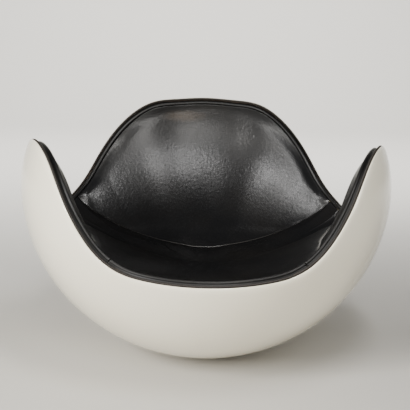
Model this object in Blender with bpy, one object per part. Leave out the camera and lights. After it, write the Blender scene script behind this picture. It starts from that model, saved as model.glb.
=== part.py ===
"""Rocking lounge chair: a ball-like glass-fibre shell cut off by a wavy rim, lined with padded
leather panels and weighted at its lowest point. Metres, +Z up, the front faces -Y."""

import bmesh
import bpy
import numpy as np

# Outer body: a round form, widest at the belt, cut off by the rim.
HALF_WIDTH = 0.465
HALF_DEPTH = 0.4405
BELT_HEIGHT = 0.440
CROWN_RISE = 0.360
FOOT_RADIUS = 0.045

# Heights of the wavy rim.
FRONT_RIM_HEIGHT = 0.2955
ARM_TIP_HEIGHT = 0.5605
NOTCH_HEIGHT = 0.332
BACK_TOP_HEIGHT = 0.606

# Angles round the chair, in degrees from the front: where the seams meet the rim.
SIDE_SEAM_FRONT = 32.0
SIDE_SEAM_REAR = 117.0
NOTCH_MIDDLE = 120.0
ARC_SEAM_REAR = 123.0

# Walls and layers, from the outside in.
SHELL_WALL = 0.005
SHELL_LIP = 0.0014
LINER_WALL = 0.004
FOAM_EDGE = 0.0109
FOAM_MIDDLE = 0.032
FOAM_STRIP_GAP = 0.0012
LEATHER_THICKNESS = 0.0016
FIT_GAP = 0.0003
GLUE_GAP = 0.003
LINER_CLEARANCE = 0.0035
LINER_EDGE_WIDTH = 0.0061
LINER_EDGE_DEPTH = 0.005
SEAM_GAP = 0.0012

# Rim trim: strip, cord, flange and roll.
STRIP_WIDTH = 0.0076
STRIP_DEPTH = 0.012
STRIP_DROP = 0.002
CORD_RADIUS = 0.00325
FLANGE_WIDTH = 0.0078
FLANGE_THICKNESS = 0.0015
ROLL_RADIUS = 0.0047
ROLL_LIFT = 0.0006

# Seat hollow.
SEAT_HEIGHT = 0.232
SEAT_ADVANCE = 0.070
SEAT_SLOPE_SHARE = 0.08
SEAT_CROWN = 0.010
BACK_CROWN = 0.015
ARM_CROWN = 0.036
ROLL_LEAN_SHARE = 1.0
BACK_EVENNESS = 4
ARM_EVENNESS = 2
ARC_SEAM_LOW_SHARE = 0.205
ARC_SEAM_SHIFT_SHARE = 0.145
SIDE_SEAM_DEPTH_SHARE = 0.50
SIDE_SEAM_FULLNESS_SHARE = 0.45
SEAM_TIP_SHARE = 0.08
SEAM_SLANT_SHARE = 3.0
SEAT_SPREAD_SHARE = 0.50
SEAT_WALL_SHARE = 0.50

# Ballast in the belly.
BED_SIDE_WALL = 0.004
DISC_LOWER_RADIUS = 0.115
DISC_LOWER_THICKNESS = 0.028
DISC_UPPER_RADIUS = 0.105
DISC_UPPER_THICKNESS = 0.024
STUD_RADIUS = 0.008
STUD_SOCKET_DEPTH = 0.022
STUD_OVERRUN = 0.006
STUD_CHAMFER = 0.0012
BORE_CLEARANCE = 0.0005
WASHER_RADIUS = 0.017
WASHER_THICKNESS = 0.003
NUT_FLAT_RADIUS = 0.012
NUT_HEIGHT = 0.013

# Height of each rim station as a share of the way between two of the named rim heights.
RIM_WAVE_SHARES = (
    (0.0, FRONT_RIM_HEIGHT, ARM_TIP_HEIGHT, 0.0),
    (20.0, FRONT_RIM_HEIGHT, ARM_TIP_HEIGHT, 0.03),
    (36.0, FRONT_RIM_HEIGHT, ARM_TIP_HEIGHT, 0.227),
    (50.0, FRONT_RIM_HEIGHT, ARM_TIP_HEIGHT, 0.735),
    (64.0, FRONT_RIM_HEIGHT, ARM_TIP_HEIGHT, 0.982),
    (78.0, FRONT_RIM_HEIGHT, ARM_TIP_HEIGHT, 1.0),
    (88.0, NOTCH_HEIGHT, ARM_TIP_HEIGHT, 0.93),
    (96.0, NOTCH_HEIGHT, ARM_TIP_HEIGHT, 0.78),
    (104.0, NOTCH_HEIGHT, ARM_TIP_HEIGHT, 0.37),
    (112.0, NOTCH_HEIGHT, ARM_TIP_HEIGHT, 0.0),
    (121.0, NOTCH_HEIGHT, BACK_TOP_HEIGHT, 0.012),
    (132.0, NOTCH_HEIGHT, BACK_TOP_HEIGHT, 0.214),
    (144.0, NOTCH_HEIGHT, BACK_TOP_HEIGHT, 0.656),
    (155.0, NOTCH_HEIGHT, BACK_TOP_HEIGHT, 0.925),
    (167.0, NOTCH_HEIGHT, BACK_TOP_HEIGHT, 0.984),
    (180.0, NOTCH_HEIGHT, BACK_TOP_HEIGHT, 1.0),
)

# Mesh counts: columns round the chair in each stretch, and rows across each surface.
FRONT_COLUMNS = 4
ARM_COLUMNS = 14
NOTCH_COLUMNS = 2
BACK_COLUMNS = 9
ARM_CROWDING_SHARE = 0.45
BACK_CROWDING_SHARE = 0.5
SEAT_ROWS = 8
BACK_ROWS = 10
ARM_ROWS = 7
LINER_ROWS = 12
SHELL_UPPER_ROWS = 6
ROUND_SIDES = 24
CORD_SIDES = 8
ROLL_SIDES = 9
CREASE_ANGLE = 40.0
COLUMN_SLACK = 0.01
SEAM_STEPS = 2000

# Level rings of the shell's belly, as shares of the quarter turn from the foot to the belt.
BELLY_RING_SHARES = (0.155, 0.245, 0.345, 0.44, 0.53)
BED_RINGS = 2

UP = np.array((0.0, 0.0, 1.0))
LOWER_RISE = BELT_HEIGHT / np.sqrt(1.0 - (FOOT_RADIUS / HALF_WIDTH) ** 2)
BELT_CENTRE = np.array((0.0, 0.0, BELT_HEIGHT))

# Places across the rim, measured inwards from the shell's outer face.
TRIM_FLOOR = FIT_GAP - STRIP_DROP
STRIP_INNER = SHELL_WALL + FIT_GAP + STRIP_WIDTH
CORD_INSET = SHELL_WALL + FIT_GAP + CORD_RADIUS
CORD_LIFT = TRIM_FLOOR + CORD_RADIUS
FLANGE_START = CORD_INSET + CORD_RADIUS + FIT_GAP
ROLL_INSET = FLANGE_START + FLANGE_WIDTH + ROLL_RADIUS
FOAM_INSET = STRIP_INNER + FOAM_STRIP_GAP
LEATHER_INSET = FOAM_INSET + FOAM_EDGE + FIT_GAP + LEATHER_THICKNESS
LEATHER_DROP = ROLL_RADIUS - ROLL_LIFT + FIT_GAP
LINER_INSET = SHELL_WALL + FIT_GAP
LINER_TOP_INSET = LINER_INSET + LINER_EDGE_WIDTH
LINER_DROP = STRIP_DROP + STRIP_DEPTH + FIT_GAP

# Heights of the layers at the middle of the seat.
FOAM_UNDER_HEIGHT = SEAT_HEIGHT - LEATHER_THICKNESS - FIT_GAP - FOAM_MIDDLE
LINER_TOP_HEIGHT = FOAM_UNDER_HEIGHT - GLUE_GAP
LINER_UNDER_HEIGHT = LINER_TOP_HEIGHT - LINER_WALL


def clear_scene():
    for old in list(bpy.data.objects):
        bpy.data.objects.remove(old, do_unlink=True)


def material(name, colour, roughness, metallic=0.0):
    made = bpy.data.materials.new(name)
    made.use_nodes = True
    shader = made.node_tree.nodes["Principled BSDF"]
    shader.inputs["Base Color"].default_value = (*colour, 1.0)
    shader.inputs["Roughness"].default_value = roughness
    shader.inputs["Metallic"].default_value = metallic
    made.diffuse_color = (*colour, 1.0)
    return made


def unit(vectors):
    return vectors / np.linalg.norm(vectors, axis=-1, keepdims=True)


def clamped_spline(knots, values, at):
    """Smooth cubic through the knots, level at both ends."""
    step = np.diff(knots)
    slope = np.diff(values) / step
    count = len(knots)
    system = np.zeros((count, count))
    target = np.zeros(count)
    system[0, :2] = 2.0 * step[0], step[0]
    target[0] = 6.0 * slope[0]
    system[-1, -2:] = step[-1], 2.0 * step[-1]
    target[-1] = -6.0 * slope[-1]
    for k in range(1, count - 1):
        system[k, k - 1 : k + 2] = step[k - 1], 2.0 * (step[k - 1] + step[k]), step[k]
        target[k] = 6.0 * (slope[k] - slope[k - 1])
    bend = np.linalg.solve(system, target)
    k = np.clip(np.searchsorted(knots, at) - 1, 0, count - 2)
    left = at - knots[k]
    right = knots[k + 1] - at
    curve = (bend[k] * right**3 + bend[k + 1] * left**3) / (6.0 * step[k])
    curve += (values[k] / step[k] - bend[k] * step[k] / 6.0) * right
    return curve + (values[k + 1] / step[k] - bend[k + 1] * step[k] / 6.0) * left


def rim_height(theta):
    angles = np.radians([station[0] for station in RIM_WAVE_SHARES])
    heights = np.array([low + share * (high - low) for _, low, high, share in RIM_WAVE_SHARES])
    folded = np.arccos(np.clip(np.cos(theta), -1.0, 1.0))
    return clamped_spline(angles, heights, folded)


def shell_point(theta, phi):
    """Point on the outer face: theta round from the front, phi up from straight below the centre."""
    plan = 1.0 / np.hypot(np.sin(theta) / HALF_WIDTH, np.cos(theta) / HALF_DEPTH)
    reach = plan * np.sin(phi)
    rise = np.where(np.cos(phi) > 0.0, LOWER_RISE, CROWN_RISE)
    height = BELT_HEIGHT - rise * np.cos(phi)
    return np.stack((reach * np.sin(theta), -reach * np.cos(theta), height), -1)


def shell_phi(height):
    rise = np.where(height < BELT_HEIGHT, LOWER_RISE, CROWN_RISE)
    return np.arccos((BELT_HEIGHT - height) / rise)


def half_axes(point):
    rise = np.where(point[..., 2] < BELT_HEIGHT, LOWER_RISE, CROWN_RISE)
    side = np.broadcast_to(HALF_WIDTH, rise.shape)
    return np.stack((side, np.broadcast_to(HALF_DEPTH, rise.shape), rise), -1)


def shell_normal(point):
    return unit((point - BELT_CENTRE) / half_axes(point) ** 2)


def onto_shell(point):
    away = point - BELT_CENTRE
    return BELT_CENTRE + away / np.linalg.norm(away / half_axes(point), axis=-1, keepdims=True)


def rim_edge(theta):
    return shell_point(theta, shell_phi(rim_height(theta)))


def rim_frame(theta):
    """Outer rim point and the direction out of the rim along the shell's face."""
    step = 1e-4
    edge = rim_edge(theta)
    along = unit(rim_edge(theta + step) - rim_edge(theta - step))
    return edge, unit(np.cross(shell_normal(edge), along))


def rim_climb(theta):
    """Direction up the shell's face at the rim, within the upright plane through the chair's axis."""
    phi = shell_phi(rim_height(theta))
    step = 1e-4
    return unit(shell_point(theta, phi + step) - shell_point(theta, phi - step))


def rim_point(theta, inwards, outwards):
    """Point a distance inwards from the shell's outer face and out of (or below) the rim."""
    edge, out = rim_frame(theta)
    base = onto_shell(edge + out * outwards)
    return base - shell_normal(base) * inwards


def dish_point(theta, t, height, inset, drop):
    """Point on one sheet of the dish: t runs from the middle of the seat to the rim."""
    end = rim_point(theta, inset, -drop)
    middle = np.array((0.0, -SEAT_ADVANCE, height))
    span = end - middle
    rise = span[..., 2:]
    near = middle + (span - UP * (rise + span[..., 1:2] * SEAT_SLOPE_SHARE)) * SEAT_SPREAD_SHARE
    far = end - rim_climb(theta) * rise * SEAT_WALL_SHARE
    t = np.asarray(t)[..., None]
    s = 1.0 - t
    return s**3 * middle + 3.0 * s * s * t * near + 3.0 * s * t * t * far + t**3 * end


def seat_point(theta, t):
    """Leather face without its crown."""
    return dish_point(theta, t, SEAT_HEIGHT, LEATHER_INSET, LEATHER_DROP)


def foam_under(theta, t):
    return dish_point(theta, t, FOAM_UNDER_HEIGHT, FOAM_INSET, LEATHER_DROP)


def seat_normal(theta, t):
    step = 1e-3
    inside = np.clip(t, 20.0 * step, 1.0 - step)
    across = seat_point(theta + step, inside) - seat_point(theta - step, inside)
    along = seat_point(theta, inside + step) - seat_point(theta, inside - step)
    slanted = unit(np.cross(along, across))
    return np.where(np.asarray(t)[..., None] > 0.0, slanted, UP)


def seat_length(theta, t):
    """How far the leather face runs for each whole of t."""
    step = 1e-3
    t = np.clip(t, step, 1.0 - step)
    run = seat_point(theta, t + step) - seat_point(theta, t - step)
    return np.linalg.norm(run, axis=-1) / (2.0 * step)


def arc_seam(theta):
    """Seam between seat and back as t in each direction: flat in the middle, nearly straight beside."""
    side = np.radians(ARC_SEAM_REAR)
    end = 1.0 - SEAM_TIP_SHARE
    shift = ARC_SEAM_SHIFT_SHARE
    bow = ARC_SEAM_LOW_SHARE - shift
    climb = (-end * np.cos(side) - shift) ** 4 - bow**4
    across = np.linspace(1.0, 0.0, SEAM_STEPS)
    backwards = shift + (bow**4 + climb * across**4) ** 0.25
    across *= end * np.sin(side)
    turn = np.pi - np.arctan2(across, backwards)
    folded = np.arccos(np.clip(np.cos(theta), -1.0, 1.0))
    return np.interp(folded, turn, np.hypot(across, backwards))


def side_seam(theta):
    """Seam between seat and arm, as t in each direction."""
    start = np.radians(SIDE_SEAM_FRONT)
    end = np.radians(SIDE_SEAM_REAR)
    turn = np.arccos(np.clip(np.cos(theta), -1.0, 1.0))
    share = np.clip((turn - start) / (end - start), 0.0, 1.0)
    dip = np.sin(np.pi * share) ** SIDE_SEAM_FULLNESS_SHARE
    return 1.0 - SEAM_TIP_SHARE - SIDE_SEAM_DEPTH_SHARE * dip


def columns():
    """Angles of the mesh columns of one whole turn, from the front. They crowd where seams are steep."""
    front = np.linspace(0.0, SIDE_SEAM_FRONT, FRONT_COLUMNS + 1)
    share = np.linspace(0.0, 1.0, ARM_COLUMNS + 1)
    share -= ARM_CROWDING_SHARE * np.sin(2.0 * np.pi * share) / (2.0 * np.pi)
    arm = SIDE_SEAM_FRONT + (SIDE_SEAM_REAR - SIDE_SEAM_FRONT) * share
    notch = np.linspace(SIDE_SEAM_REAR, ARC_SEAM_REAR, NOTCH_COLUMNS + 1)
    share = np.linspace(0.0, 1.0, BACK_COLUMNS + 1) ** (1.0 + BACK_CROWDING_SHARE)
    back = ARC_SEAM_REAR + (180.0 - ARC_SEAM_REAR) * share
    half = np.concatenate((front[:-1], arm[:-1], notch[:-1], back))
    return np.radians(np.concatenate((half, 360.0 - half[-2:0:-1])))


def columns_between(first, last):
    """Columns from one angle to another, in degrees, past 180 on the left side."""
    turn = np.degrees(columns())
    turn = np.concatenate((turn - 360.0, turn))
    keep = (turn > first - COLUMN_SLACK) & (turn < last + COLUMN_SLACK)
    return np.radians(turn[keep])


def cap(body, ring):
    """Close one end of a loft with quads across the ring, each split in two."""
    size = len(ring)
    for j in range((size - 1) // 2):
        near = ring[j + 1]
        far = ring[size - 2 - j]
        if near != far:
            body.faces.new((ring[j], near, far))
        body.faces.new((ring[j], far, ring[size - 1 - j]))


def loft(name, rings, finish, wrap, closed_ring, back_from=None, theta=None):
    """Solid through rings of points, one ring for each column. Points that meet are merged.
    Quads are split along their shorter diagonal as the rim rises or falls, and where a ring runs
    back over itself they are split the same way as those that they cover."""
    count, size = rings.shape[:2]
    turn_back = size if back_from is None else back_from
    rising = np.zeros(count, bool)
    if theta is not None:
        rising = rim_height(np.roll(theta, -1)) > rim_height(theta)
    body = bmesh.new()
    verts = [[body.verts.new(point) for point in ring] for ring in rings]
    for i in range(count if wrap else count - 1):
        here = verts[i]
        after = verts[(i + 1) % count]
        for j in range(size if closed_ring else size - 1):
            k = (j + 1) % size
            if (j < turn_back) != rising[i]:
                body.faces.new((here[j], after[j], after[k]))
                body.faces.new((here[j], after[k], here[k]))
            else:
                body.faces.new((here[j], after[j], here[k]))
                body.faces.new((here[k], after[j], after[k]))
    if not wrap:
        cap(body, verts[0])
        cap(body, verts[-1][::-1])
    bmesh.ops.remove_doubles(body, verts=body.verts, dist=FIT_GAP / 100.0)
    if body.calc_volume(signed=True) < 0.0:
        bmesh.ops.reverse_faces(body, faces=body.faces)
    mesh = bpy.data.meshes.new(name)
    body.to_mesh(mesh)
    body.free()
    mesh.materials.append(finish)
    mesh.shade_smooth()
    mesh.set_sharp_from_angle(angle=np.radians(CREASE_ANGLE))
    made = bpy.data.objects.new(name, mesh)
    bpy.context.scene.collection.objects.link(made)
    return made


def belly_phis():
    start = shell_phi(0.0)
    return [start] + [share * np.pi / 2.0 for share in BELLY_RING_SHARES]


def outer_shell(finish):
    """One glass-fibre moulding: round belly on a small flat foot, with a rounded lip at the rim."""
    theta = columns()
    phis = belly_phis()
    rows = [shell_point(theta, np.full_like(theta, phi)) for phi in phis]
    below = rim_point(theta, 0.0, -LINER_DROP)
    below_phi = shell_phi(below[:, 2])
    below_theta = np.arctan2(below[:, 0], -below[:, 1])
    turn = (below_theta - theta + np.pi) % (2.0 * np.pi) - np.pi
    for k in range(1, SHELL_UPPER_ROWS + 1):
        share = k / SHELL_UPPER_ROWS
        rows.append(shell_point(theta + turn * share, phis[-1] + (below_phi - phis[-1]) * share))
    rows.append(rim_point(theta, 0.0, 0.0))
    inner = [row - shell_normal(row) * SHELL_WALL for row in rows[1:]]
    foot = rows[0] - shell_normal(rows[0]) * SHELL_WALL
    foot[:, 2] = SHELL_WALL
    lip = rim_point(theta, SHELL_WALL / 2.0, SHELL_LIP)
    pole = np.zeros_like(foot)
    profile = [pole] + rows + [lip] + inner[::-1] + [foot, pole + UP * SHELL_WALL]
    rings = np.stack(profile, 1)
    return loft("outer_shell", rings, finish, True, False, len(rows) + 2, theta)


def layer_point(theta, t, depth):
    return seat_point(theta, t) - seat_normal(theta, t) * np.asarray(depth)[..., None]


def inner_shell(finish):
    """Thinner moulding under the padding. Its edge is thickened to sit against the outer shell."""
    theta = columns()
    shares = np.linspace(0.0, 1.0, LINER_ROWS + 1)
    inset = LINER_INSET + LINER_CLEARANCE
    top = [dish_point(theta, t, LINER_TOP_HEIGHT, LINER_TOP_INSET, LINER_DROP) for t in shares]
    under = [dish_point(theta, t, LINER_UNDER_HEIGHT, inset, LINER_DROP) for t in shares]
    under[-1] = rim_point(theta, inset, -LINER_DROP - LINER_EDGE_DEPTH)
    under.append(rim_point(theta, LINER_INSET, -LINER_DROP))
    profile = top + under[::-1]
    return loft("inner_shell", np.stack(profile, 1), finish, True, False, len(top), theta)


def crown(theta, share, evenness, height):
    """Bulge of a panel: none at its edges, and fuller towards the rim, where the padding is thick."""
    if evenness is None:
        return height * (1.0 - share**5)
    lift = 1.0 - (2.0 * share ** (1.0 + ROLL_LEAN_SHARE) - 1.0) ** 4
    place = (theta - theta[0]) / (theta[-1] - theta[0])
    return height * lift * (1.0 - (2.0 * place - 1.0) ** evenness)


def panel(name, theta, inner, outer, rows, height, evenness, finishes):
    """Leather panel and the foam pad under it, between two seams or round the seat's middle."""
    fan = inner is None
    low = np.zeros_like(theta) if fan else inner(theta)
    high = outer(theta)
    layers = {"leather": ([], []), "foam": ([], [])}
    for k in range(rows + 1):
        even = k / rows
        packed = np.sin(np.pi / 2.0 * even) if fan else (1.0 - np.cos(np.pi * even)) / 2.0
        share = (even + packed) / 2.0
        t = low + (high - low) * share
        bulge = crown(theta, share, evenness, height) * np.ones_like(theta)
        foam_top = LEATHER_THICKNESS + FIT_GAP - bulge
        layers["leather"][0].append(layer_point(theta, t, -bulge))
        layers["leather"][1].append(layer_point(theta, t, LEATHER_THICKNESS - bulge))
        layers["foam"][0].append(layer_point(theta, t, foam_top))
        layers["foam"][1].append(foam_under(theta, t))
    for layer, (top, under) in layers.items():
        rings = np.stack(top + under[::-1], 1)
        loft(f"{layer}_{name}", rings, finishes[layer], fan, not fan, len(top), theta)


def seam_share(theta, seam):
    """Half of the seam's gap as a share of t, wider where the seam runs towards the rim."""
    step = 1e-3
    t = seam(theta)
    length = seat_length(theta, t)
    width = seat_point(theta + step, t) - seat_point(theta - step, t)
    slant = (seam(theta + step) - seam(theta - step)) * length / np.linalg.norm(width, axis=-1)
    return SEAM_GAP / 2.0 / length * np.minimum(np.hypot(1.0, slant), SEAM_SLANT_SHARE)


def seat_edge(theta):
    """Outer edge of the seat panel: the rim in front and in the notches, the seams between."""
    turn = np.degrees(np.arccos(np.clip(np.cos(theta), -1.0, 1.0)))
    edge = np.ones_like(theta)
    on_side = (turn > SIDE_SEAM_FRONT - COLUMN_SLACK) & (turn < SIDE_SEAM_REAR + COLUMN_SLACK)
    on_back = turn > ARC_SEAM_REAR - COLUMN_SLACK
    for here, seam in ((on_side, side_seam), (on_back, arc_seam)):
        edge[here] = seam(theta[here]) - seam_share(theta[here], seam)
    return edge


def arm_edge(theta):
    return side_seam(theta) + seam_share(theta, side_seam)


def back_edge(theta):
    return arc_seam(theta) + seam_share(theta, arc_seam)


def rim_line(theta):
    return np.ones_like(theta)


def padding(finishes):
    arm = (SIDE_SEAM_FRONT, SIDE_SEAM_REAR)
    panel("seat", columns(), None, seat_edge, SEAT_ROWS, SEAT_CROWN, None, finishes)
    back = columns_between(ARC_SEAM_REAR, 360.0 - ARC_SEAM_REAR)
    panel("back", back, back_edge, rim_line, BACK_ROWS, BACK_CROWN, BACK_EVENNESS, finishes)
    for side, limits in (("right", arm), ("left", (-arm[1], -arm[0]))):
        theta = columns_between(*limits)
        name = f"arm_{side}"
        panel(name, theta, arm_edge, rim_line, ARM_ROWS, ARM_CROWN, ARM_EVENNESS, finishes)


def rim_sweep(name, theta, section, finish, wrap=False):
    rings = np.stack([rim_point(theta, inwards, out) for inwards, out in section], 1)
    return loft(name, rings, finish, wrap, True, len(section) // 2, theta)


def trimmed(first, last):
    """Columns of one rim stretch, drawn in at both ends by half of the seam's gap."""
    theta = columns_between(first, last)
    for end, towards in ((0, 1), (-1, -1)):
        step = 1e-3
        run = rim_edge(theta[end] + step) - rim_edge(theta[end] - step)
        theta[end] += towards * SEAM_GAP / 2.0 / (np.linalg.norm(run) / (2.0 * step))
    return theta


def rim_stretches():
    notch = NOTCH_MIDDLE
    front = SIDE_SEAM_FRONT
    return (
        ("front", trimmed(-front, front)),
        ("right", trimmed(front, notch)),
        ("back", trimmed(notch, 360.0 - notch)),
        ("left", trimmed(-notch, -front)),
    )


def rim_trim(finishes):
    """Tack strips, welts and the trim cord, which follow the rim one inside the other."""
    strip_outer = SHELL_WALL + FIT_GAP
    strip_top = -STRIP_DROP
    strip_base = strip_top - STRIP_DEPTH
    strip = (
        (strip_outer, strip_base),
        (strip_outer, strip_top),
        (STRIP_INNER, strip_top),
        (STRIP_INNER, strip_base),
    )
    flange_top = TRIM_FLOOR + FLANGE_THICKNESS
    welt = [(FLANGE_START, flange_top)]
    start = np.pi + np.arcsin((ROLL_LIFT - flange_top) / ROLL_RADIUS)
    stop = -np.pi + np.arcsin((ROLL_LIFT - TRIM_FLOOR) / ROLL_RADIUS)
    for k in range(ROLL_SIDES + 1):
        turn = start + (stop - start) * k / ROLL_SIDES
        across = ROLL_INSET + ROLL_RADIUS * np.cos(turn)
        welt.append((across, ROLL_LIFT + ROLL_RADIUS * np.sin(turn)))
    welt.append((FLANGE_START, TRIM_FLOOR))
    for name, theta in rim_stretches():
        rim_sweep(f"tack_strip_{name}", theta, strip, finishes["strip"])
        rim_sweep(f"welt_{name}", theta, welt, finishes["leather"])
    turns = np.arange(CORD_SIDES) * 2.0 * np.pi / CORD_SIDES
    cord = [(CORD_INSET + CORD_RADIUS * np.cos(a), CORD_LIFT + CORD_RADIUS * np.sin(a)) for a in turns]
    rim_sweep("trim_cord", columns(), cord, finishes["cord"], wrap=True)


def turned(name, profile, finish, closed_ring, flats=None):
    """Round piece on the chair's axis from (radius, height) points, six-sided at the radius flats."""
    angles = np.arange(ROUND_SIDES) * 2.0 * np.pi / ROUND_SIDES
    rings = []
    for radius, height in profile:
        reach = np.full_like(angles, radius)
        if flats is not None and radius == flats:
            reach = radius / np.cos((angles + np.pi / 6.0) % (np.pi / 3.0) - np.pi / 6.0)
        level = np.full_like(angles, height)
        rings.append(np.stack((reach * np.sin(angles), -reach * np.cos(angles), level), -1))
    return loft(name, np.stack(rings, 1), finish, True, closed_ring)


def ring_profile(inner, outer, base, height):
    top = base + height
    return ((inner, base), (outer, base), (outer, top), (inner, top))


def ballast(finishes):
    """Cast bed in the belly with two iron discs held down by a stud, a washer and a nut."""
    theta = columns()
    offset = SHELL_WALL + FIT_GAP
    rows = [shell_point(theta, np.full_like(theta, phi)) for phi in belly_phis()[: BED_RINGS + 1]]
    under = [row - shell_normal(row) * offset for row in rows]
    under[0][:, 2] = offset
    bed_top = under[-1][:, 2].max() + BED_SIDE_WALL
    edge = under[-1].copy()
    edge[:, 2] = bed_top
    round_plan = np.stack((np.sin(theta), -np.cos(theta), np.zeros_like(theta)), -1)
    socket = round_plan * (STUD_RADIUS + BORE_CLEARANCE)
    socket_top = socket + UP * bed_top
    socket_base = socket + UP * (bed_top - STUD_SOCKET_DEPTH)
    pole = np.zeros_like(socket)
    base_pole = pole + UP * offset
    socket_pole = pole + UP * (bed_top - STUD_SOCKET_DEPTH)
    profile = [base_pole] + under + [edge, socket_top, socket_base, socket_pole]
    loft("ballast_bed", np.stack(profile, 1), finishes["bed"], True, False, theta=theta)
    bore = STUD_RADIUS + BORE_CLEARANCE
    level = bed_top + FIT_GAP
    stack = (
        ("ballast_disc_lower", DISC_LOWER_RADIUS, DISC_LOWER_THICKNESS, "iron"),
        ("ballast_disc_upper", DISC_UPPER_RADIUS, DISC_UPPER_THICKNESS, "iron"),
        ("ballast_washer", WASHER_RADIUS, WASHER_THICKNESS, "steel"),
    )
    for name, radius, thickness, finish in stack:
        turned(name, ring_profile(bore, radius, level, thickness), finishes[finish], True)
        level += thickness + FIT_GAP
    nut = ring_profile(bore, NUT_FLAT_RADIUS, level, NUT_HEIGHT)
    turned("ballast_nut", nut, finishes["steel"], True, flats=NUT_FLAT_RADIUS)
    base = bed_top - STUD_SOCKET_DEPTH + FIT_GAP
    top = level + NUT_HEIGHT + STUD_OVERRUN
    stud = (
        (0.0, base),
        (STUD_RADIUS, base),
        (STUD_RADIUS, top - STUD_CHAMFER),
        (STUD_RADIUS - STUD_CHAMFER, top),
        (0.0, top),
    )
    turned("ballast_stud", stud, finishes["steel"], False)


clear_scene()
finishes = {
    "leather": material("black leather", (0.014, 0.014, 0.016), 0.42),
    "foam": material("cream foam", (0.62, 0.55, 0.38), 0.95),
    "strip": material("tack strip", (0.12, 0.09, 0.06), 0.85),
    "cord": material("twisted cord", (0.035, 0.026, 0.02), 0.6),
    "bed": material("filled resin", (0.32, 0.31, 0.28), 0.9),
    "iron": material("cast iron", (0.09, 0.09, 0.095), 0.7, 0.8),
    "steel": material("zinc steel", (0.55, 0.56, 0.58), 0.35, 1.0),
}
outer_shell(material("white gelcoat", (0.76, 0.73, 0.66), 0.12))
inner_shell(material("raw laminate", (0.55, 0.52, 0.36), 0.7))
padding(finishes)
rim_trim(finishes)
ballast(finishes)
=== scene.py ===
import math

import bmesh
import bpy
import numpy as np
from mathutils import Matrix, Vector


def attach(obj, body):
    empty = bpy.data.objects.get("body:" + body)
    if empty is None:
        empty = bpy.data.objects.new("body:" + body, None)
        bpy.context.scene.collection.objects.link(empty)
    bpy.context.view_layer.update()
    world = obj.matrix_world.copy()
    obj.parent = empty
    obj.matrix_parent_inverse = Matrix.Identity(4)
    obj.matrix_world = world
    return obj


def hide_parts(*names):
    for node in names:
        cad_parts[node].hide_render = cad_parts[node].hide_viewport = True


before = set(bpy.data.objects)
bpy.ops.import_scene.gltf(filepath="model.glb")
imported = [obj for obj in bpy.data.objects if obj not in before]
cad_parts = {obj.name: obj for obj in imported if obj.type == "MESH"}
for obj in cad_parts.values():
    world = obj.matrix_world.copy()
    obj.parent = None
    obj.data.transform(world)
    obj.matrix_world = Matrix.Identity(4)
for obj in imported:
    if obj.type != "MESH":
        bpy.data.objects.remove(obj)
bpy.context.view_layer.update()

# Camera: it stands 2.4 m in front of the chair and 0.99 m above the floor, looks 14 degrees down,
# and is turned and tipped by about a degree, as the photograph shows.
PHOTO_SIDE, FOCAL_PIXELS, SENSOR_WIDTH = 410.0, 974.42, 36.0
EYE = Vector((-0.0531, -2.4203, 0.9852))
YAW, PITCH, ROLL = math.radians(1.212), math.radians(13.988), math.radians(1.332)

ahead = Vector((math.sin(YAW) * math.cos(PITCH), math.cos(YAW) * math.cos(PITCH), -math.sin(PITCH)))
level = Vector((math.cos(YAW), -math.sin(YAW), 0.0))
upright = level.cross(ahead)
right = level * math.cos(ROLL) + upright * math.sin(ROLL)
top = upright * math.cos(ROLL) - level * math.sin(ROLL)
lens = bpy.data.cameras.new("photo_camera")
lens.sensor_width = SENSOR_WIDTH
lens.lens = FOCAL_PIXELS / PHOTO_SIDE * SENSOR_WIDTH
camera = bpy.data.objects.new("photo_camera", lens)
camera.matrix_world = Matrix.Translation(EYE) @ Matrix((right, top, -ahead)).transposed().to_4x4()
bpy.context.scene.collection.objects.link(camera)
bpy.context.scene.camera = camera


# Outer shell: one glass-fibre moulding laid up in a mould, with a white gelcoat outside. Its belly
# is round, its rim runs in one wave round the chair, and the edge is rubbed round and polished.
SHELL = {"half_width": 0.465, "half_depth": 0.4405, "belt": 0.440, "crown": 0.360, "foot": 0.045}
SHELL_WALL, SHELL_LIP = 0.005, 0.0014
SHOULDER, SHOULDER_DEEP, SHOULDER_ROUND = 0.015, 0.0027, 0.96
SHELL_COLUMN, FACE_ROWS, SHOULDER_ROWS, LIP_STEPS = 1.25, 48, 8, 5
CREAM, CREAM_YELLOWED = (0.88, 0.83, 0.68), (0.85, 0.79, 0.63)
RIM = {"front": 0.2955, "tip": 0.5605, "notch": 0.332, "back": 0.606}
RIM_WAVE = (
    (0.0, "front", "tip", 0.0),
    (20.0, "front", "tip", 0.03),
    (36.0, "front", "tip", 0.227),
    (50.0, "front", "tip", 0.735),
    (64.0, "front", "tip", 0.982),
    (78.0, "front", "tip", 1.0),
    (88.0, "notch", "tip", 0.93),
    (96.0, "notch", "tip", 0.78),
    (104.0, "notch", "tip", 0.37),
    (112.0, "notch", "tip", 0.0),
    (121.0, "notch", "back", 0.012),
    (132.0, "notch", "back", 0.214),
    (144.0, "notch", "back", 0.656),
    (155.0, "notch", "back", 0.925),
    (167.0, "notch", "back", 0.984),
    (180.0, "notch", "back", 1.0),
)
RIM_ANGLES = np.radians([station[0] for station in RIM_WAVE])
RIM_HEIGHTS = np.array([RIM[a] + share * (RIM[b] - RIM[a]) for _, a, b, share in RIM_WAVE])
BELT = np.array((0.0, 0.0, SHELL["belt"]))
UP = np.array((0.0, 0.0, 1.0))
LOWER_RISE = SHELL["belt"] / math.sqrt(1.0 - (SHELL["foot"] / SHELL["half_width"]) ** 2)
NUDGE, MERGE_WITHIN = 1e-4, 1e-6


def unit(vectors):
    """Vectors cut or stretched to length one."""
    return vectors / np.linalg.norm(vectors, axis=-1, keepdims=True)


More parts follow.
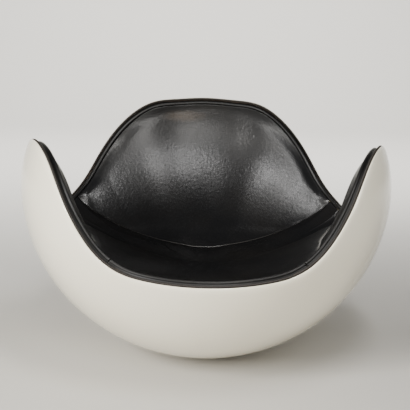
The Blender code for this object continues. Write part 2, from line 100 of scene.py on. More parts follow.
def wave(knots, values, at):
    """Cubic spline through the rim's stations, level in front and behind."""
    step = np.diff(knots)
    slope = np.diff(values) / step
    count = len(knots)
    system = np.zeros((count, count))
    target = np.zeros(count)
    system[0, :2] = 2.0 * step[0], step[0]
    target[0] = 6.0 * slope[0]
    system[-1, -2:] = step[-1], 2.0 * step[-1]
    target[-1] = -6.0 * slope[-1]
    for k in range(1, count - 1):
        system[k, k - 1 : k + 2] = step[k - 1], 2.0 * (step[k - 1] + step[k]), step[k]
        target[k] = 6.0 * (slope[k] - slope[k - 1])
    bend = np.linalg.solve(system, target)
    k = np.clip(np.searchsorted(knots, at) - 1, 0, count - 2)
    left = at - knots[k]
    rest = knots[k + 1] - at
    curve = (bend[k] * rest**3 + bend[k + 1] * left**3) / (6.0 * step[k])
    curve += (values[k] / step[k] - bend[k] * step[k] / 6.0) * rest
    return curve + (values[k + 1] / step[k] - bend[k + 1] * step[k] / 6.0) * left


def from_front(theta):
    """Angle from the middle of the front, the same on both sides."""
    return np.arccos(np.clip(np.cos(theta), -1.0, 1.0))


def rim_height(theta):
    """Height of the rim above the floor."""
    return wave(RIM_ANGLES, RIM_HEIGHTS, from_front(theta))


def shell_point(theta, phi):
    """Point of the outer face: theta runs round from the front, phi up from the foot."""
    plan = 1.0 / np.hypot(np.sin(theta) / SHELL["half_width"], np.cos(theta) / SHELL["half_depth"])
    reach = plan * np.sin(phi)
    rise = np.where(np.cos(phi) > 0.0, LOWER_RISE, SHELL["crown"])
    return np.stack((reach * np.sin(theta), -reach * np.cos(theta), SHELL["belt"] - rise * np.cos(phi)), -1)


def shell_phi(height):
    """Phi at which the outer face has a height."""
    rise = np.where(height < SHELL["belt"], LOWER_RISE, SHELL["crown"])
    return np.arccos((SHELL["belt"] - height) / rise)


def half_axes(point):
    """Half axes of the ellipsoid that a point belongs to: one below the belt, one above."""
    rise = np.where(point[..., 2] < SHELL["belt"], LOWER_RISE, SHELL["crown"])
    ones = np.ones_like(rise)
    return np.stack((ones * SHELL["half_width"], ones * SHELL["half_depth"], rise), -1)


def shell_normal(point):
    """Direction out of the outer face."""
    return unit((point - BELT) / half_axes(point) ** 2)


def onto_shell(point):
    """Point brought onto the outer face along its line to the belt's middle."""
    away = point - BELT
    return BELT + away / np.linalg.norm(away / half_axes(point), axis=-1, keepdims=True)


def rim_edge(theta):
    """Point of the outer face where the rim cuts it off."""
    return shell_point(theta, shell_phi(rim_height(theta)))


def rim_out(theta):
    """Direction out of the rim, along the shell's outer face."""
    along = unit(rim_edge(theta + NUDGE) - rim_edge(theta - NUDGE))
    return unit(np.cross(shell_normal(rim_edge(theta)), along))


def rim_climb(theta):
    """Direction up the shell's outer face at the rim, straight above where it comes from."""
    phi = shell_phi(rim_height(theta))
    return unit(shell_point(theta, phi + NUDGE) - shell_point(theta, phi - NUDGE))


def rim_point(theta, inwards, outwards):
    """Point beside the rim: inwards from the outer face, and outwards past the edge."""
    base = onto_shell(rim_edge(theta) + rim_out(theta) * np.asarray(outwards)[..., None])
    return base - shell_normal(base) * np.asarray(inwards)[..., None]


def skin(name, grid, finish, wrap=False, closed=False):
    """Mesh over rows and columns of points: wrap joins the columns' ends, closed makes a solid."""
    rows, cols = grid.shape[:2]
    body = bmesh.new()
    verts = [[body.verts.new(p) for p in row] for row in grid]
    for i in range(rows if closed else rows - 1):
        upper, lower = verts[i], verts[(i + 1) % rows]
        for j in range(cols if wrap else cols - 1):
            k = (j + 1) % cols
            body.faces.new((upper[j], upper[k], lower[k], lower[j]))
    if closed and not wrap:
        body.faces.new([row[0] for row in verts])
        body.faces.new([row[-1] for row in verts][::-1])
    bmesh.ops.remove_doubles(body, verts=body.verts, dist=MERGE_WITHIN)
    bmesh.ops.dissolve_degenerate(body, edges=body.edges, dist=MERGE_WITHIN)
    if body.calc_volume(signed=True) < 0.0:
        bmesh.ops.reverse_faces(body, faces=body.faces)
    mesh = bpy.data.meshes.new(name)
    body.to_mesh(mesh)
    body.free()
    mesh.materials.append(finish)
    mesh.shade_smooth()
    piece = bpy.data.objects.new(name, mesh)
    bpy.context.scene.collection.objects.link(piece)
    return piece


def fill(tree, node, wanted):
    """Feed a node's inputs, by number or name, from a socket or with a value."""
    for key, value in wanted.items():
        socket = node.inputs[key if isinstance(key, int) else key.replace("_", " ")]
        if isinstance(value, bpy.types.NodeSocket):
            tree.links.new(value, socket)
        else:
            socket.default_value = value


def add_node(tree, kind, *sources, **settings):
    """New node: sources feed its first inputs, settings are attributes or inputs by name."""
    node = tree.nodes.new(kind)
    wanted = dict(enumerate(sources))
    for key, value in settings.items():
        if hasattr(node, key):
            setattr(node, key, value)
        else:
            wanted[key] = value
    fill(tree, node, wanted)
    return node


class Finish:
    """Material whose textures read Object coordinates and whose bumps lie one on another."""

    def __init__(self, name):
        self.made = bpy.data.materials.new(name)
        self.made.use_nodes = True
        self.tree = self.made.node_tree
        self.shader = self.tree.nodes["Principled BSDF"]
        self.place = self.add("ShaderNodeTexCoord").outputs["Object"]
        self.relief = {}

    def add(self, kind, *sources, **settings):
        """New node in this material."""
        return add_node(self.tree, kind, *sources, **settings)

    def noise(self, scale, detail, roughness):
        """Noise in space, from nought to one."""
        made = self.add("ShaderNodeTexNoise", self.place, Scale=scale, Detail=detail, Roughness=roughness)
        return made.outputs["Fac"]

    def ramp(self, value, first, last):
        """Colour ramp between two pairs of place and colour, where a colour may be one grey."""
        made = self.add("ShaderNodeValToRGB", value)
        for stop, (place, colour) in zip(made.color_ramp.elements, (first, last)):
            stop.position = place
            stop.color = (*colour, 1.0) if isinstance(colour, tuple) else (colour, colour, colour, 1.0)
        return made.outputs["Color"]

    def mix(self, share, start, colour):
        """One colour laid over another by a share."""
        made = self.add("ShaderNodeMix", data_type="RGBA", Factor=share, A=start, B=(*colour, 1.0))
        return made.outputs["Result"]

    def bump(self, height, strength, distance):
        """Relief on top of what is there already."""
        made = self.add("ShaderNodeBump", Height=height, Strength=strength, Distance=distance, **self.relief)
        self.relief = {"Normal": made.outputs["Normal"]}

    def shade(self, **wanted):
        """Set the shader's inputs and return the finished material."""
        fill(self.tree, self.shader, {**wanted, **self.relief})
        return self.made


def gelcoat():
    """Glossy cream-white gelcoat: faint yellowing, an almost flat face and fine polishing marks."""
    look = Finish("cream_gelcoat")
    patches = look.noise(scale=3.1, detail=3.0, roughness=0.5)
    marks = look.noise(scale=140.0, detail=4.0, roughness=0.62)
    ripple = look.noise(scale=26.0, detail=2.0, roughness=0.4)
    look.bump(ripple, strength=0.05, distance=0.002)
    return look.shade(
        Base_Color=look.ramp(patches, (0.30, CREAM), (0.72, CREAM_YELLOWED)),
        Roughness=look.ramp(marks, (0.35, 0.15), (0.80, 0.24)),
        Coat_Weight=0.8,
        Coat_Roughness=0.06,
    )


shell_columns = np.radians(np.arange(0.0, 360.0, SHELL_COLUMN))
shell_middle = np.zeros((len(shell_columns), 3))
foot_phi = shell_phi(np.zeros_like(shell_columns))
below = rim_point(shell_columns, 0.0, -SHOULDER)
below_turn = (np.arctan2(below[:, 0], -below[:, 1]) - shell_columns + math.pi) % (2.0 * math.pi) - math.pi
below_phi = shell_phi(below[:, 2])
face_rows = []
for share in np.linspace(0.0, 1.0, FACE_ROWS):
    row_phi = foot_phi + (below_phi - foot_phi) * share
    face_rows.append(shell_point(shell_columns + below_turn * share, row_phi))
shell_rows = [shell_middle] + face_rows
for k in range(1, SHOULDER_ROWS + 1):
    outwards = -SHOULDER * (1.0 - k / SHOULDER_ROWS)
    inwards = SHOULDER_DEEP * (1.0 - math.sqrt(1.0 - (k / SHOULDER_ROWS) ** 2 * SHOULDER_ROUND))
    face_rows.append(rim_point(shell_columns, 0.0, outwards))
    shell_rows.append(rim_point(shell_columns, inwards, outwards))
lip_start = inwards
for turn in np.linspace(0.0, math.pi, LIP_STEPS + 1)[1:-1]:
    inwards = lip_start + (SHELL_WALL - lip_start) * (1.0 - math.cos(turn)) / 2.0
    shell_rows.append(rim_point(shell_columns, inwards, SHELL_LIP * math.sin(turn)))
inner_rows = [row - shell_normal(row) * SHELL_WALL for row in face_rows[::-1]]
inner_rows[-1][:, 2] = SHELL_WALL
shell_rows += inner_rows + [shell_middle + UP * SHELL_WALL]
shell = skin("shell", np.stack(shell_rows), gelcoat(), wrap=True)
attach(shell, "root")
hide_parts("outer_shell")


# Leather panels: seat, back and two arms in black upholstery leather, sewn together along an arc
# and two side seams, drawn taut over the foam and stapled behind the welt. The leather rolls down
# into each seam, and the padding presses it out a little between them.
LEATHER, FIT_GAP = 0.0016, 0.0003
EDGE_INSET, EDGE_DROP = 0.0269, 0.0044
SEAT_HEIGHT, SEAT_ADVANCE, SEAT_SLOPE, SEAT_SPREAD, SEAT_WALL = 0.232, 0.070, 0.08, 0.50, 0.50
SIDE_FRONT, SIDE_REAR, NOTCH, ARC_REAR = 32.0, 117.0, 120.0, 123.0
SIDE_DEPTH, SIDE_FULLNESS, ARC_LOW, ARC_SHIFT, SEAM_TIP = 0.50, 0.45, 0.205, 0.145, 0.015
SEAM_HALF_GAP, SEAM_ROLL, SEAM_DEEP = 0.0003, 0.0026, 0.0016
PANEL_ROWS = {"seat": 61, "back": 81, "arm": 41}
CROWNS = {"seat": 0.010, "back": 0.0225, "arm": 0.036}
ROUNDNESS, EVENNESS = {"back": 2, "arm": 4}, {"back": 8, "arm": 2}
SEAT_CROWDING, SEAT_FLATNESS = 0.8, 5
SEAM_STEP, FRONT_STEP, ARC_POINTS, LINE_POINTS, BATCH = 0.005, 0.006, 2000, 4001, 4000
CLOTH_PRESSURE, CLOTH_SLACK, CLOTH_STIFFNESS, CLOTH_CAP = 4.0, 0.02, 4.0, 0.0025
CLOTH_FRAMES, CLOTH_QUALITY, CLOTH_EVERY, CLOTH_SMOOTHINGS = 20, 5, 2, 4
LEATHER_BLACK, LEATHER_BROWN = (0.0030, 0.0030, 0.0033), (0.0060, 0.0052, 0.0046)
# The seams' grey is a painted highlight: it stands in for light caught on the leather's rolled edges along
# each seam.
BARE_BROWN, SEAM_PAINTED_HIGHLIGHT = (0.105, 0.078, 0.055), (0.075, 0.070, 0.064)
WORN_AT, WORN_SIZE = (-0.072, 0.40, 0.553), (0.12, 0.07, 0.030)


def dish_point(theta, t, height=SEAT_HEIGHT, inset=EDGE_INSET):
    """Point of the hollow: t runs from the middle of the seat to the rim."""
    end = rim_point(theta, inset, -EDGE_DROP)
    middle = np.array((0.0, -SEAT_ADVANCE, height))
    span = end - middle
    rise = span[..., 2:]
    near = middle + (span - UP * (rise + span[..., 1:2] * SEAT_SLOPE)) * SEAT_SPREAD
    far = end - rim_climb(theta) * rise * SEAT_WALL
    t = np.asarray(t)[..., None]
    s = 1.0 - t
    return s**3 * middle + 3.0 * s * s * t * near + 3.0 * s * t * t * far + t**3 * end


def dish_normal(theta, t):
    """Direction out of the padding, straight up at the very middle."""
    step, clear = 1e-3, 0.02
    inside = np.clip(t, clear, 1.0 - step)
    across = dish_point(theta + step, inside) - dish_point(theta - step, inside)
    along = dish_point(theta, inside + step) - dish_point(theta, inside - step)
    slanted = unit(np.cross(along, across))
    return np.where(np.asarray(t)[..., None] > 0.0, slanted, UP)


def arc_seam(theta):
    """Seam between seat and back: flat in the middle, nearly straight towards the notches."""
    side, end, bow = math.radians(ARC_REAR), 1.0 - SEAM_TIP, ARC_LOW - ARC_SHIFT
    climb = (-end * math.cos(side) - ARC_SHIFT) ** 4 - bow**4
    across = np.linspace(1.0, 0.0, ARC_POINTS)
    backwards = ARC_SHIFT + (bow**4 + climb * across**4) ** 0.25
    across *= end * math.sin(side)
    turn = np.pi - np.arctan2(across, backwards)
    return np.interp(from_front(theta), turn, np.hypot(across, backwards))


def side_seam(theta):
    """Seam between seat and arm: steep at both ends, deepest half way."""
    share = np.clip((np.degrees(from_front(theta)) - SIDE_FRONT) / (SIDE_REAR - SIDE_FRONT), 0.0, 1.0)
    return 1.0 - SEAM_TIP - SIDE_DEPTH * np.sin(np.pi * share) ** SIDE_FULLNESS


def rim_line(theta):
    """The rim as t, for a line that runs along it."""
    return np.ones_like(theta)


def spaced(line, first, last, step):
    """Angles in degrees from first to last, evenly spaced along a line of the hollow."""
    fine = np.linspace(0.0, 1.0, LINE_POINTS)
    fine = first + (last - first) * (1.0 - np.cos(np.pi * fine)) / 2.0
    points = dish_point(np.radians(fine), line(np.radians(fine)))
    length = np.concatenate(([0.0], np.cumsum(np.linalg.norm(np.diff(points, axis=0), axis=1))))
    count = int(round(length[-1] / step))
    return np.interp(np.linspace(0.0, length[-1], count + 1), length, fine)


def seam_distance(theta, t, seam, near):
    """How far points of the hollow lie from a seam, measured in space."""
    line = dish_point(near, seam(near))
    points = dish_point(theta, t)
    flat = points.reshape(-1, 3)
    shortest = np.empty(len(flat))
    for start in range(0, len(flat), BATCH):
        gap = flat[start : start + BATCH, None, :] - line[None, :, :]
        shortest[start : start + BATCH] = np.sqrt((gap**2).sum(-1).min(1))
    return shortest.reshape(points.shape[:-1])


def roll_down(distance):
    """Depth below the taut face near a seam: a quarter round into the stitching."""
    share = np.clip(1.0 - distance / SEAM_ROLL, 0.0, 1.0)
    return SEAM_DEEP * (1.0 - np.sqrt(np.clip(1.0 - share**2, 0.0, 1.0)))


arc_angles = spaced(arc_seam, ARC_REAR, 360.0 - ARC_REAR, SEAM_STEP)
side_angles = spaced(side_seam, SIDE_FRONT, SIDE_REAR, SEAM_STEP)
front_angles = spaced(rim_line, -SIDE_FRONT, SIDE_FRONT, FRONT_STEP)
notch_angles = spaced(rim_line, SIDE_REAR, ARC_REAR, SEAM_STEP)
arc_line, side_line = np.radians(arc_angles), np.radians(side_angles)
SEAMS = {
    "seat": ((arc_seam, arc_line), (side_seam, side_line), (side_seam, -side_line)),
    "back": ((arc_seam, arc_line),),
    "arm_right": ((side_seam, side_line),),
    "arm_left": ((side_seam, -side_line),),
}


def seat_columns():
    """Columns of the seat and its outer edge as t, once round from the front's left corner."""
    turns = [front_angles[:-1], side_angles[:-1], notch_angles[:-1], arc_angles[:-1]]
    turns += [360.0 - notch_angles[:0:-1], 360.0 - side_angles[:0:-1]]
    edges = [rim_line, side_seam, rim_line, arc_seam, rim_line, side_seam]
    theta = [np.radians(turn) for turn in turns]
    return np.concatenate(theta), np.concatenate([edge(turn) for edge, turn in zip(edges, theta)])


def panel_faces(name):
    """Grid of angles, t and crown height for one panel."""
    kind = name.split("_")[0]
    even = np.linspace(0.0, 1.0, PANEL_ROWS[kind])[:, None]
    if kind == "seat":
        theta, high = seat_columns()
        share = even**SEAT_CROWDING
        theta = np.broadcast_to(theta, (len(even), len(theta)))
        return theta, share * high, CROWNS[kind] * (1.0 - share**SEAT_FLATNESS) * np.ones_like(theta)
    seam, line = SEAMS[name][0]
    theta = np.sort(line)
    low = seam(theta)
    share = (even + (1.0 - np.cos(np.pi * even)) / 2.0) / 2.0
    place = (theta - theta[0]) / (theta[-1] - theta[0])
    lift = 1.0 - (2.0 * share**2 - 1.0) ** ROUNDNESS[kind]
    lift = lift * (1.0 - (2.0 * place - 1.0) ** EVENNESS[kind])
    return np.broadcast_to(theta, (len(even), len(theta))), low + (1.0 - low) * share, CROWNS[kind] * lift


def hung_sheet(name, start, facing, wrap):
    """Open sheet over a coarse grid, and which of its points are sewn or stapled down."""
    rows, cols = start.shape[:2]
    index = np.arange(rows * cols).reshape(rows, cols)
    held = np.zeros(index.shape, dtype=bool)
    held[-1] = True
    if wrap:
        index[0] = 0
    else:
        held[0] = held[:, 0] = held[:, -1] = True
    faces = []
    for i in range(rows - 1):
        for j in range(cols if wrap else cols - 1):
            k = (j + 1) % cols
            corners = (index[i, j], index[i, k], index[i + 1, k], index[i + 1, j])
            faces.append(list(dict.fromkeys(int(corner) for corner in corners)))
    mesh = bpy.data.meshes.new(name)
    mesh.from_pydata(start.reshape(-1, 3).tolist(), [], faces)
    outwards = facing.reshape(-1, 3)
    if sum(np.dot(face.normal, outwards[face.vertices[-1]]) for face in mesh.polygons) < 0.0:
        mesh.flip_normals()
    sheet = bpy.data.objects.new(name, mesh)
    bpy.context.scene.collection.objects.link(sheet)
    sheet.vertex_groups.new(name="held").add([int(v) for v in index[held]], 1.0, "REPLACE")
    return sheet, held


def blown_out(name, grid, normal, wrap):
    """How far the padding presses a panel's leather out: cloth held at its edges, under pressure."""
    rows, cols = np.arange(0, grid.shape[0], CLOTH_EVERY), np.arange(0, grid.shape[1], CLOTH_EVERY)
    if not wrap:
        cols = np.unique(np.append(cols, grid.shape[1] - 1))
    start, facing = grid[np.ix_(rows, cols)], normal[np.ix_(rows, cols)]
    sheet, held = hung_sheet(name, start, facing, wrap)
    cloth = sheet.modifiers.new("cloth", "CLOTH")
    cloth.settings.quality = CLOTH_QUALITY
    cloth.settings.vertex_group_mass = "held"
    cloth.settings.use_pressure = True
    cloth.settings.uniform_pressure_force = CLOTH_PRESSURE
    cloth.settings.shrink_min = -CLOTH_SLACK
    cloth.settings.bending_stiffness = CLOTH_STIFFNESS
    cloth.settings.effector_weights.gravity = 0.0
    cloth.point_cache.frame_start, cloth.point_cache.frame_end = 1, CLOTH_FRAMES
    for step in range(1, CLOTH_FRAMES + 1):
        bpy.context.scene.frame_set(step)
    pressed = sheet.evaluated_get(bpy.context.evaluated_depsgraph_get()).data
    points = np.empty(len(pressed.vertices) * 3)
    pressed.vertices.foreach_get("co", points)
    move = ((points.reshape(start.shape) - start) * facing).sum(-1)
    mesh = sheet.data
    bpy.data.objects.remove(sheet)
    bpy.data.meshes.remove(mesh)
    bpy.context.scene.frame_set(1)
    if wrap:
        move[0] = move[1].mean()
    move = CLOTH_CAP * np.tanh(np.maximum(move, 0.0) / CLOTH_CAP)
    for _ in range(CLOTH_SMOOTHINGS):
        move[held] = 0.0
        sides = np.roll(move, 1, 1) + np.roll(move, -1, 1)
        move[1:-1] = (2.0 * move + sides)[1:-1] / 8.0 + (move[:-2] + 2.0 * move[1:-1] + move[2:]) / 8.0
    move[held] = 0.0
    full = np.array([np.interp(np.arange(grid.shape[0]), rows, line) for line in move.T])
    period = grid.shape[1] if wrap else None
    return np.array([np.interp(np.arange(grid.shape[1]), cols, line, period=period) for line in full.T])


def leather_finish():
    """Black upholstery leather: fine grain, softened gloss, a brown place rubbed at the back's top, and a
    painted highlight along the seams.
    """
    look = Finish("black_leather")
    cloud = look.noise(scale=5.0, detail=3.0, roughness=0.55)
    tint = look.ramp(cloud, (0.35, LEATHER_BLACK), (0.70, LEATHER_BROWN))
    spot = look.add("ShaderNodeMapping", look.place, vector_type="TEXTURE", Location=WORN_AT, Scale=WORN_SIZE)
    near = look.add("ShaderNodeTexGradient", spot.outputs["Vector"], gradient_type="SPHERICAL")
    flecks = look.noise(scale=210.0, detail=4.0, roughness=0.7)
    share = look.add("ShaderNodeMath", near.outputs["Fac"], flecks, operation="MULTIPLY")
    tint = look.mix(look.ramp(share.outputs["Value"], (0.10, 0.0), (0.42, 0.6)), tint, BARE_BROWN)
    # Painted highlight: the leather turns grey where it rolls down into a seam, standing in for the light
    # caught along the seams' rounded edges.
    seam = look.add("ShaderNodeAttribute", attribute_name="seam")
    tint = look.mix(look.ramp(seam.outputs["Fac"], (0.12, 0.0), (0.45, 1.0)), tint, SEAM_PAINTED_HIGHLIGHT)
    sway = look.noise(scale=110.0, detail=2.0, roughness=0.6)
    look.bump(sway, strength=0.80, distance=0.0007)
    hair = look.noise(scale=900.0, detail=3.0, roughness=0.6)
    look.bump(hair, strength=0.30, distance=0.00004)
    grain = look.add("ShaderNodeTexVoronoi", look.place, feature="DISTANCE_TO_EDGE", Scale=430.0)
    pebble = look.ramp(grain.outputs["Distance"], (0.0, 0.0), (0.45, 1.0))
    look.bump(pebble, strength=0.60, distance=0.00012)
    rub = look.noise(scale=11.0, detail=4.0, roughness=0.6)
    gloss = look.ramp(rub, (0.30, 0.29), (0.72, 0.37))
    return look.shade(Base_Color=tint, Roughness=gloss, Specular_IOR_Level=0.50)


leather_black = leather_finish()
foam_tops = {}
for name, seams in SEAMS.items():
    wraps = name == "seat"
    theta, t, lift = panel_faces(name)
    face = dish_point(theta, t)
    normal = dish_normal(theta, t)
    depth = np.zeros_like(t)
    for seam, line in seams:
        depth += roll_down(seam_distance(theta, t, seam, line) + SEAM_HALF_GAP)
    lift = lift + blown_out(f"cloth_{name}", face + normal * lift[..., None], normal, wraps)
    top_face = face + normal * (lift - depth)[..., None]
    under = face + normal * (lift - depth - LEATHER)[..., None]
    sheet = np.concatenate((top_face, under[::-1]))
    cover = skin(f"leather_{name}_cover", sheet, leather_black, wrap=wraps, closed=not wraps)
    # How far each point lies down in a seam's roll, kept as the mask of the painted highlight along the
    # seams.
    seam_highlight_mask = depth / SEAM_DEEP
    if wraps:
        # The seat's middle is one point above and one below, where the columns meet.
        seam_highlight_mask = np.concatenate(([0.0], seam_highlight_mask[1:].ravel(), seam_highlight_mask[:0:-1].ravel(), [0.0]))
    else:
        seam_highlight_mask = np.concatenate((seam_highlight_mask, seam_highlight_mask[::-1])).ravel()
    cover.data.attributes.new("seam", "FLOAT", "POINT").data.foreach_set("value", seam_highlight_mask)
    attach(cover, "root")
    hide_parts(f"leather_{name}")
    foam_tops[name] = (theta, t, face + normal * (lift - depth - LEATHER - FIT_GAP)[..., None])


# Foam pads: one pad of cream polyether foam under each leather panel, glued down to the seat liner
# and cut to the panel's outline, so that it fills the leather.
FOAM_INSET, FOAM_UNDER, FOAM_EVERY = 0.0141, 0.1981, 2
FOAM_PALE, FOAM_YELLOWED = (0.64, 0.56, 0.38), (0.50, 0.42, 0.26)


def foam_finish():
    """Cream foam with open cells, darker inside each cell."""
    look = Finish("cream_foam")
    cells = look.add("ShaderNodeTexVoronoi", look.place, Scale=900.0).outputs["Distance"]
    look.bump(cells, strength=0.6, distance=0.0006)
    return look.shade(Base_Color=look.ramp(cells, (0.1, FOAM_PALE), (0.8, FOAM_YELLOWED)), Roughness=0.95)


foam_cream = foam_finish()
for name, (theta, t, top_face) in foam_tops.items():
    wraps = name == "seat"
    under = dish_point(theta, t, FOAM_UNDER, FOAM_INSET)
    block = np.concatenate((top_face[::FOAM_EVERY], under[::-1][::FOAM_EVERY]))
    pad = skin(f"foam_{name}_pad", block, foam_cream, wrap=wraps, closed=not wraps)
    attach(pad, "root")
    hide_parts(f"foam_{name}")


# Welts: four lengths of leather-covered piping between the leather and the trim cord, each with a
# flat flange tacked to the strip behind it. They meet in a butt joint where a seam reaches the rim.
WELT = {
    "front": (-SIDE_FRONT, SIDE_FRONT),
    "right": (SIDE_FRONT, NOTCH),
    "back": (NOTCH, 360.0 - NOTCH),
    "left": (-NOTCH, -SIDE_FRONT),
}
FLANGE_START, FLANGE_FLOOR, FLANGE_THICKNESS = 0.0121, -0.0017, 0.0015
ROLL_RADIUS, ROLL_INSET, ROLL_LIFT, ROLL_POINTS = 0.0047, 0.0246, 0.0006, 25
BUTT, RIM_RADIUS, WELT_STEP = 0.0006, 0.45, 0.003
WELT_BLACK, WELT_DUSTY = (0.0030, 0.0029, 0.0028), (0.0075, 0.0065, 0.0055)


def welt_finish():
    """Black leather of the welt, thin, stretched smooth and dulled by hands and dust."""
    look = Finish("welt_leather")
    dust = look.noise(scale=60.0, detail=3.0, roughness=0.6)
    tint = look.ramp(dust, (0.35, WELT_BLACK), (0.75, WELT_DUSTY))
    return look.shade(Base_Color=tint, Roughness=0.45, Specular_IOR_Level=0.38)


welt_black = welt_finish()
flange_top = FLANGE_FLOOR + FLANGE_THICKNESS
roll_start = math.pi + math.asin((ROLL_LIFT - flange_top) / ROLL_RADIUS)
roll_stop = -math.pi + math.asin((ROLL_LIFT - FLANGE_FLOOR) / ROLL_RADIUS)
section = [(FLANGE_START, flange_top)]
for turn in np.linspace(roll_start, roll_stop, ROLL_POINTS):
    section.append((ROLL_INSET + ROLL_RADIUS * math.cos(turn), ROLL_LIFT + ROLL_RADIUS * math.sin(turn)))
section.append((FLANGE_START, FLANGE_FLOOR))
for name, (first, last) in WELT.items():
    theta = np.radians(spaced(rim_line, first, last, WELT_STEP))
    theta[0] += BUTT / RIM_RADIUS
    theta[-1] -= BUTT / RIM_RADIUS
    rings = np.stack([rim_point(theta, inwards, outwards) for inwards, outwards in section])
    welt = skin(f"welt_{name}_roll", rings, welt_black, closed=True)
    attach(welt, "root")
    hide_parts(f"welt_{name}")


# Trim cord: a three-ply twisted cord of brown-black cotton, glued into the gap between the welt and
# the shell's lip, its ends butted behind the back.
CORD_RADIUS, CORD_INSET, CORD_LIFT, CORD_LAY, CORD_STEP = 0.00325, 0.00855, 0.00155, 0.0150, 0.004
PLIES, PLY_SIDES, STEPS_PER_TURN, PLY_WIND, PLY_RADIUS = 3, 6, 10, 0.535, 0.48
CORD_BLACK, CORD_BROWN = (0.0060, 0.0046, 0.0036), (0.026, 0.019, 0.014)


def cord_finish():
    """Brown-black cotton plies with fine fibres."""
    look = Finish("twisted_cord")
    fibres = look.noise(scale=1200.0, detail=2.0, roughness=0.6)
    look.bump(fibres, strength=0.5, distance=0.0002)
    tint = look.ramp(fibres, (0.3, CORD_BLACK), (0.75, CORD_BROWN))
    return look.shade(Base_Color=tint, Roughness=0.55, Specular_IOR_Level=0.45)


def twisted(name, path, finish, inputs):
    """Closed cord of plies wound round a path, made by Geometry Nodes and turned into a mesh."""
    curve = bpy.data.curves.new(name, "CURVE")
    curve.dimensions = "3D"
    spline = curve.splines.new("POLY")
    spline.points.add(len(path) - 1)
    spline.points.foreach_set("co", np.column_stack((path, np.ones(len(path)))).ravel())
    spline.use_cyclic_u = True
    holder = bpy.data.objects.new(name, curve)
    bpy.context.scene.collection.objects.link(holder)
    tree = bpy.data.node_groups.new(name, "GeometryNodeTree")
    sockets = {}
    tree.interface.new_socket("Geometry", in_out="INPUT", socket_type="NodeSocketGeometry")
    for key, value in inputs.items():
        kind = "NodeSocketInt" if isinstance(value, int) else "NodeSocketFloat"
        sockets[key] = tree.interface.new_socket(key, in_out="INPUT", socket_type=kind).identifier
    tree.interface.new_socket("Geometry", in_out="OUTPUT", socket_type="NodeSocketGeometry")
    given = tree.nodes.new("NodeGroupInput").outputs

    def node(kind, *sources, **settings):
        return add_node(tree, kind, *sources, **settings).outputs[0]

    even = node("GeometryNodeResampleCurve", given["Geometry"], Count=given["Steps"])
    flat = node("GeometryNodeSetCurveNormal", even, mode="Z_UP")
    along = node("GeometryNodeSplineParameter")
    side = node("GeometryNodeInputNormal")
    other = node("ShaderNodeVectorMath", node("GeometryNodeInputTangent"), side, operation="CROSS_PRODUCT")
    plies = tree.nodes.new("GeometryNodeJoinGeometry")
    for ply in range(PLIES):
        turn = node("ShaderNodeMath", along, given["Turns"], operation="MULTIPLY")
        turn = node("ShaderNodeMath", turn, ply / PLIES, operation="ADD")
        turn = node("ShaderNodeMath", turn, 2.0 * math.pi, operation="MULTIPLY")
        offsets = []
        for operation, axis in (("COSINE", side), ("SINE", other)):
            swing = node("ShaderNodeMath", turn, operation=operation)
            swing = node("ShaderNodeMath", swing, given["Wind"], operation="MULTIPLY")
            offsets.append(node("ShaderNodeVectorMath", axis, operation="SCALE", Scale=swing))
        offset = node("ShaderNodeVectorMath", *offsets, operation="ADD")
        moved = node("GeometryNodeSetPosition", flat, Offset=offset)
        circle = node("GeometryNodeCurvePrimitiveCircle", Resolution=given["Sides"], Radius=given["Ply"])
        tube = node("GeometryNodeCurveToMesh", moved, Profile_Curve=circle)
        tree.links.new(tube, plies.inputs[0])
    whole = node("GeometryNodeRealizeInstances", plies.outputs[0])
    painted = node("GeometryNodeSetMaterial", whole, Material=finish)
    tree.links.new(painted, tree.nodes.new("NodeGroupOutput").inputs[0])
    modifier = holder.modifiers.new("plies", "NODES")
    modifier.node_group = tree
    for key, value in inputs.items():
        modifier[sockets[key]] = value
    graph = bpy.context.evaluated_depsgraph_get()
    mesh = bpy.data.meshes.new_from_object(holder.evaluated_get(graph))
    bpy.data.objects.remove(holder, do_unlink=True)
    mesh.shade_smooth()
    piece = bpy.data.objects.new(name, mesh)
    bpy.context.scene.collection.objects.link(piece)
    return piece


cord_angles = np.radians(spaced(rim_line, 0.0, 360.0, CORD_STEP))[:-1]
cord_path = rim_point(cord_angles, CORD_INSET, CORD_LIFT)
cord_length = np.linalg.norm(np.diff(np.vstack((cord_path, cord_path[:1])), axis=0), axis=1).sum()
turns = round(cord_length / CORD_LAY)
twist = {
    "Steps": turns * STEPS_PER_TURN,
    "Turns": turns,
    "Wind": CORD_RADIUS * PLY_WIND,
    "Ply": CORD_RADIUS * PLY_RADIUS,
    "Sides": PLY_SIDES,
}
cord = twisted("twisted_trim_cord", cord_path, cord_finish(), twist)
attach(cord, "root")
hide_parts("trim_cord")


# Hidden pieces keep the shapes of the frame: the raw laminate of the seat liner, the tack strips of
# pressed board, and the ballast of iron discs on a cast bed, with its zinc-plated stud and nut.
def plain_finish(name, low, high, scale, rough, metal=0.0, relief=0.0004):
    """Patchy finish between two colours, a little rougher where it is lighter."""
    look = Finish(name)
    cloud = look.noise(scale=scale, detail=5.0, roughness=0.6)
    look.bump(cloud, strength=0.5, distance=relief)
    tint = look.ramp(cloud, (0.3, low), (0.7, high))
    gloss = look.ramp(cloud, (0.3, rough - 0.08), (0.7, rough + 0.05))
    return look.shade(Base_Color=tint, Roughness=gloss, Metallic=metal)


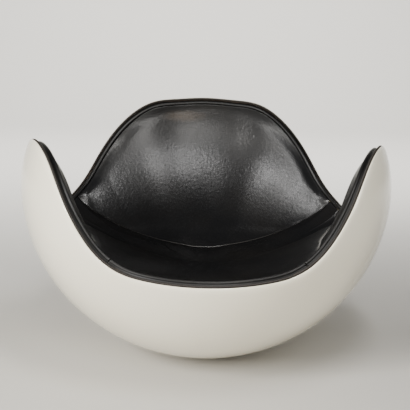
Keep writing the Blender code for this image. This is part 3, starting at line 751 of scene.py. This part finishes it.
laminate = plain_finish("raw_laminate", (0.50, 0.47, 0.30), (0.60, 0.56, 0.40), 60.0, 0.72)
board = plain_finish("tack_board", (0.10, 0.07, 0.045), (0.17, 0.125, 0.08), 160.0, 0.86)
resin = plain_finish("filled_resin", (0.27, 0.26, 0.23), (0.37, 0.36, 0.33), 90.0, 0.88)
iron = plain_finish("cast_iron", (0.06, 0.06, 0.064), (0.115, 0.11, 0.105), 120.0, 0.70, 0.8)
zinc = plain_finish("zinc_steel", (0.50, 0.51, 0.53), (0.60, 0.61, 0.62), 200.0, 0.34, 1.0, 0.0001)
hidden = {
    "inner_shell": laminate,
    "tack_strip": board,
    "ballast_bed": resin,
    "ballast_disc": iron,
    "ballast_washer": zinc,
    "ballast_nut": zinc,
    "ballast_stud": zinc,
}
for node_name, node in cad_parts.items():
    for start_of_name, finish in hidden.items():
        if node_name.startswith(start_of_name):
            for slot in node.material_slots:
                slot.material = finish


# Studio: a plain pale floor that turns up into a wall far behind, a tall soft light from the left,
# a narrow one from above, weaker ones from the front and right, and one that lights only the wall.
FLOOR_HALF, WALL_AT, WALL_HEIGHT, CORNER, CORNER_POINTS = 9.0, 4.8, 2.6, 1.4, 12
FLOOR_TINT, WORLD_TINT, WORLD_STRENGTH = (0.50, 0.485, 0.45, 1.0), (0.95, 0.96, 1.0, 1.0), 0.10

floor_finish = Finish("pale_floor").shade(Base_Color=FLOOR_TINT, Roughness=0.8)
profile = [(-FLOOR_HALF, 0.0), (WALL_AT - CORNER, 0.0)]
for turn in np.linspace(0.0, math.pi / 2.0, CORNER_POINTS)[1:]:
    profile.append((WALL_AT - CORNER + CORNER * math.sin(turn), CORNER * (1.0 - math.cos(turn))))
profile.append((WALL_AT, WALL_HEIGHT))
sweep = np.array([[(x, y, z) for y, z in profile] for x in (-FLOOR_HALF, FLOOR_HALF)])
floor = skin("studio_floor", sweep, floor_finish)


def soft_light(name, place, aim, size, power, colour):
    """Rectangular light aimed at a point, unseen by the camera."""
    lamp = bpy.data.lights.new(name, "AREA")
    lamp.shape, lamp.energy, lamp.color = "RECTANGLE", power, colour
    lamp.size, lamp.size_y = size
    holder = bpy.data.objects.new(name, lamp)
    look = (Vector(aim) - Vector(place)).to_track_quat("-Z", "Y")
    holder.matrix_world = Matrix.Translation(Vector(place)) @ look.to_matrix().to_4x4()
    bpy.context.scene.collection.objects.link(holder)
    holder.visible_camera = False


soft_light("overhead_box", (0.42, -1.25, 2.65), (0.0, 0.3, 0.4), (0.22, 1.1), 38.0, (1.0, 0.99, 0.98))
soft_light("tall_window", (0.40, -2.9, 1.65), (0.0, 0.2, 0.4), (0.50, 1.9), 48.0, (1.0, 0.985, 0.95))
soft_light("left_window", (-2.5, -2.3, 1.75), (0.0, 0.1, 0.45), (0.45, 1.7), 250.0, (1.0, 0.985, 0.955))
soft_light("right_fill", (2.8, -1.2, 1.3), (0.0, 0.1, 0.4), (0.6, 1.4), 14.0, (1.0, 0.99, 0.98))
soft_light("wall_wash", (0.0, 1.9, 2.2), (0.0, 4.6, 0.0), (5.0, 0.8), 330.0, (1.0, 1.0, 1.0))
world = bpy.data.worlds.new("studio")
world.use_nodes = True
world.node_tree.nodes["Background"].inputs["Color"].default_value = WORLD_TINT
world.node_tree.nodes["Background"].inputs["Strength"].default_value = WORLD_STRENGTH
bpy.context.scene.world = world
